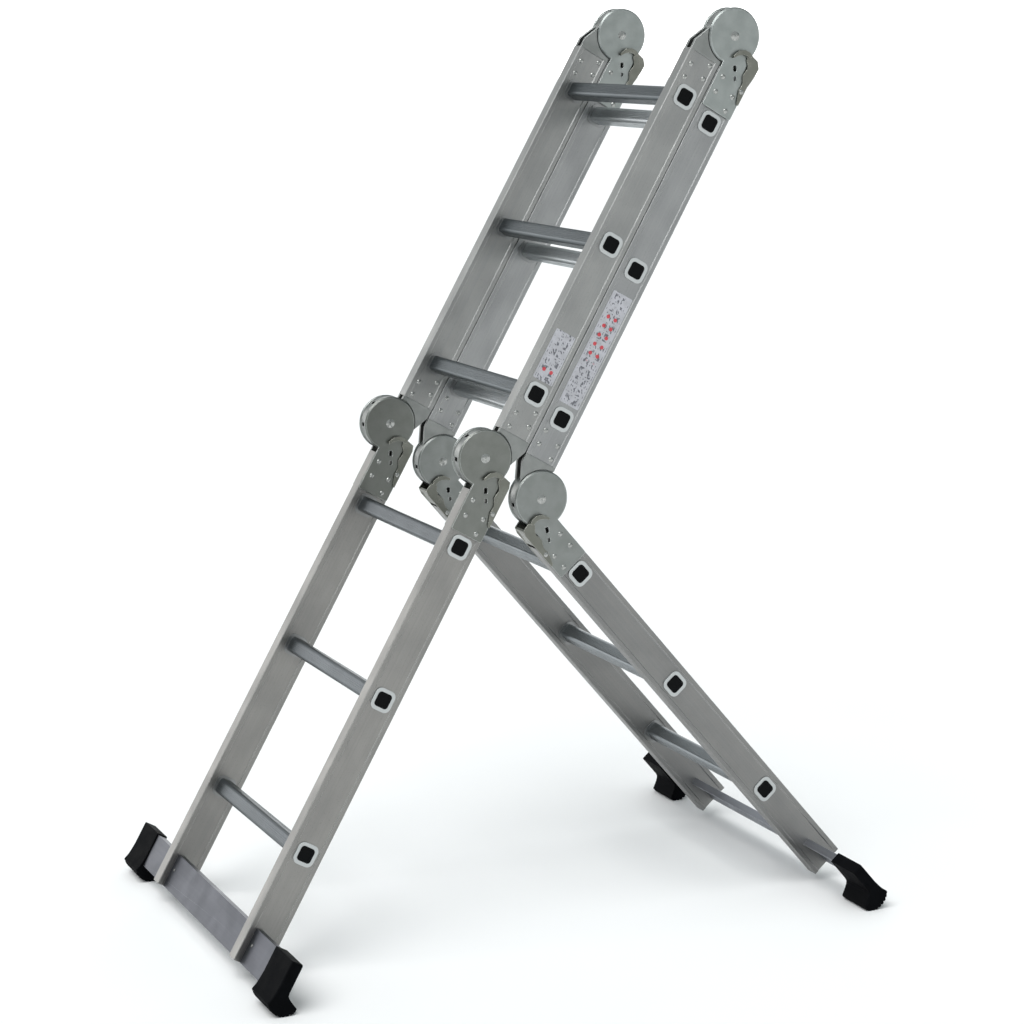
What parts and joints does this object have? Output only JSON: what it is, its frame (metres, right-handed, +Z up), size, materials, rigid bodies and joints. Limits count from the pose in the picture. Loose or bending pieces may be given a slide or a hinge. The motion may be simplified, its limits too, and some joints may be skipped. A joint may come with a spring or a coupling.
{
  "type": "multi position ladder",
  "caption": "Folding aluminium ladder in hinged sections with locking hinges and stabiliser bars, stood up as a stepladder with a tall front.",
  "frame": {"origin": "centre of the footprint on the floor, under the middle of the bounding box", "axes": "+X from the front feet towards the rear feet, +Y across the ladder from the right rails to the left rails, +Z up"},
  "size_m": [1.1512, 0.788, 1.5596],
  "materials": {
    "rail_aluminium": "satin extruded",
    "rung_aluminium": "ribbed extruded",
    "bar_aluminium": "satin",
    "black_plastic": "moulded",
    "black_rubber": "moulded",
    "label_film": "printed film",
    "black_steel": "black oxide",
    "rivet_steel": "headed",
    "zinc_steel": "zinc plated",
    "cheek_steel": "zinc plated, matt",
    "tang_steel": "zinc plated"
  },
  "bodies": {
    "lower_front": {"front_hinge_axles": "rivet_steel", "front_hinge_cheeks_l": "cheek_steel", "front_hinge_cheeks_r": "cheek_steel", "front_hinge_lever_pins": "rivet_steel", "lower_front_bar_screws": "black_steel", "lower_front_boots": "black_rubber", "lower_front_rail_l": "rail_aluminium", "lower_front_rail_r": "rail_aluminium", "lower_front_rivets": "rivet_steel", "lower_front_rung_1": "rung_aluminium", "lower_front_rung_2": "rung_aluminium", "lower_front_rung_3": "rung_aluminium", "lower_front_rung_plugs": "black_plastic", "lower_front_stabiliser_bar": "bar_aluminium"},
    "front_lever_l": {"front_hinge_lever_l": "zinc_steel"},
    "front_lever_r": {"front_hinge_lever_r": "zinc_steel"},
    "upper_front": {"front_hinge_tang_l": "tang_steel", "front_hinge_tang_r": "tang_steel", "top_hinge_tang_l": "tang_steel", "top_hinge_tang_r": "tang_steel", "upper_front_label": "label_film", "upper_front_rail_l": "rail_aluminium", "upper_front_rail_r": "rail_aluminium", "upper_front_rivets": "rivet_steel", "upper_front_rung_1": "rung_aluminium", "upper_front_rung_2": "rung_aluminium", "upper_front_rung_3": "rung_aluminium", "upper_front_rung_plugs": "black_plastic"},
    "lower_rear": {"lower_rear_bar_screws": "black_steel", "lower_rear_boots": "black_rubber", "lower_rear_rail_l": "rail_aluminium", "lower_rear_rail_r": "rail_aluminium", "lower_rear_rivets": "rivet_steel", "lower_rear_rung_1": "rung_aluminium", "lower_rear_rung_2": "rung_aluminium", "lower_rear_rung_3": "rung_aluminium", "lower_rear_rung_plugs": "black_plastic", "lower_rear_stabiliser_bar": "bar_aluminium", "rear_hinge_axles": "rivet_steel", "rear_hinge_cheeks_l": "cheek_steel", "rear_hinge_cheeks_r": "cheek_steel", "rear_hinge_lever_pins": "rivet_steel"},
    "rear_lever_l": {"rear_hinge_lever_l": "zinc_steel"},
    "rear_lever_r": {"rear_hinge_lever_r": "zinc_steel"},
    "upper_rear": {"rear_hinge_tang_l": "tang_steel", "rear_hinge_tang_r": "tang_steel", "top_hinge_axles": "rivet_steel", "top_hinge_cheeks_l": "cheek_steel", "top_hinge_cheeks_r": "cheek_steel", "top_hinge_lever_pins": "rivet_steel", "upper_rear_label": "label_film", "upper_rear_rail_l": "rail_aluminium", "upper_rear_rail_r": "rail_aluminium", "upper_rear_rivets": "rivet_steel", "upper_rear_rung_1": "rung_aluminium", "upper_rear_rung_2": "rung_aluminium", "upper_rear_rung_3": "rung_aluminium", "upper_rear_rung_plugs": "black_plastic"},
    "top_lever_l": {"top_hinge_lever_l": "zinc_steel"},
    "top_lever_r": {"top_hinge_lever_r": "zinc_steel"}
  },
  "joints": [
    {"name": "front_hinge", "type": "hinge", "parent": "upper_front", "child": "lower_front", "pos_m": [-0.11566, 0, 0.82658], "axis": [0, -1, 0], "range_deg": [-180, 0]},
    {"name": "top_hinge", "type": "hinge", "parent": "upper_front", "child": "upper_rear", "pos_m": [0.35453, 0, 1.51108], "axis": [0, -1, 0], "range_deg": [0, 180]},
    {"name": "rear_hinge", "type": "hinge", "parent": "upper_rear", "child": "lower_rear", "pos_m": [-0.01381, 0, 0.74905], "axis": [0, 1, 0], "range_deg": [-109.55, 70.45]},
    {"name": "front_lever_r_pull", "type": "hinge", "parent": "lower_front", "child": "front_lever_r", "pos_m": [-0.10489, -0.2075, 0.73249], "axis": [0, 1, 0], "range_deg": [0, 12], "stiffness_Nm_per_rad": 0.6, "springref_deg": -6.88},
    {"name": "front_lever_l_pull", "type": "hinge", "parent": "lower_front", "child": "front_lever_l", "pos_m": [-0.10489, 0.2075, 0.73249], "axis": [0, 1, 0], "range_deg": [0, 12], "stiffness_Nm_per_rad": 0.6, "springref_deg": -6.88},
    {"name": "top_lever_r_pull", "type": "hinge", "parent": "upper_rear", "child": "top_lever_r", "pos_m": [0.3653, -0.2075, 1.41699], "axis": [0, 1, 0], "range_deg": [0, 12], "stiffness_Nm_per_rad": 0.6, "springref_deg": -6.88},
    {"name": "top_lever_l_pull", "type": "hinge", "parent": "upper_rear", "child": "top_lever_l", "pos_m": [0.3653, 0.2075, 1.41699], "axis": [0, 1, 0], "range_deg": [0, 12], "stiffness_Nm_per_rad": 0.6, "springref_deg": -6.88},
    {"name": "rear_lever_r_pull", "type": "hinge", "parent": "lower_rear", "child": "rear_lever_r", "pos_m": [-0.00767, -0.2075, 0.65455], "axis": [0, -1, 0], "range_deg": [0, 12], "stiffness_Nm_per_rad": 0.6, "springref_deg": -6.88},
    {"name": "rear_lever_l_pull", "type": "hinge", "parent": "lower_rear", "child": "rear_lever_l", "pos_m": [-0.00767, 0.2075, 0.65455], "axis": [0, -1, 0], "range_deg": [0, 12], "stiffness_Nm_per_rad": 0.6, "springref_deg": -6.88}
  ]
}
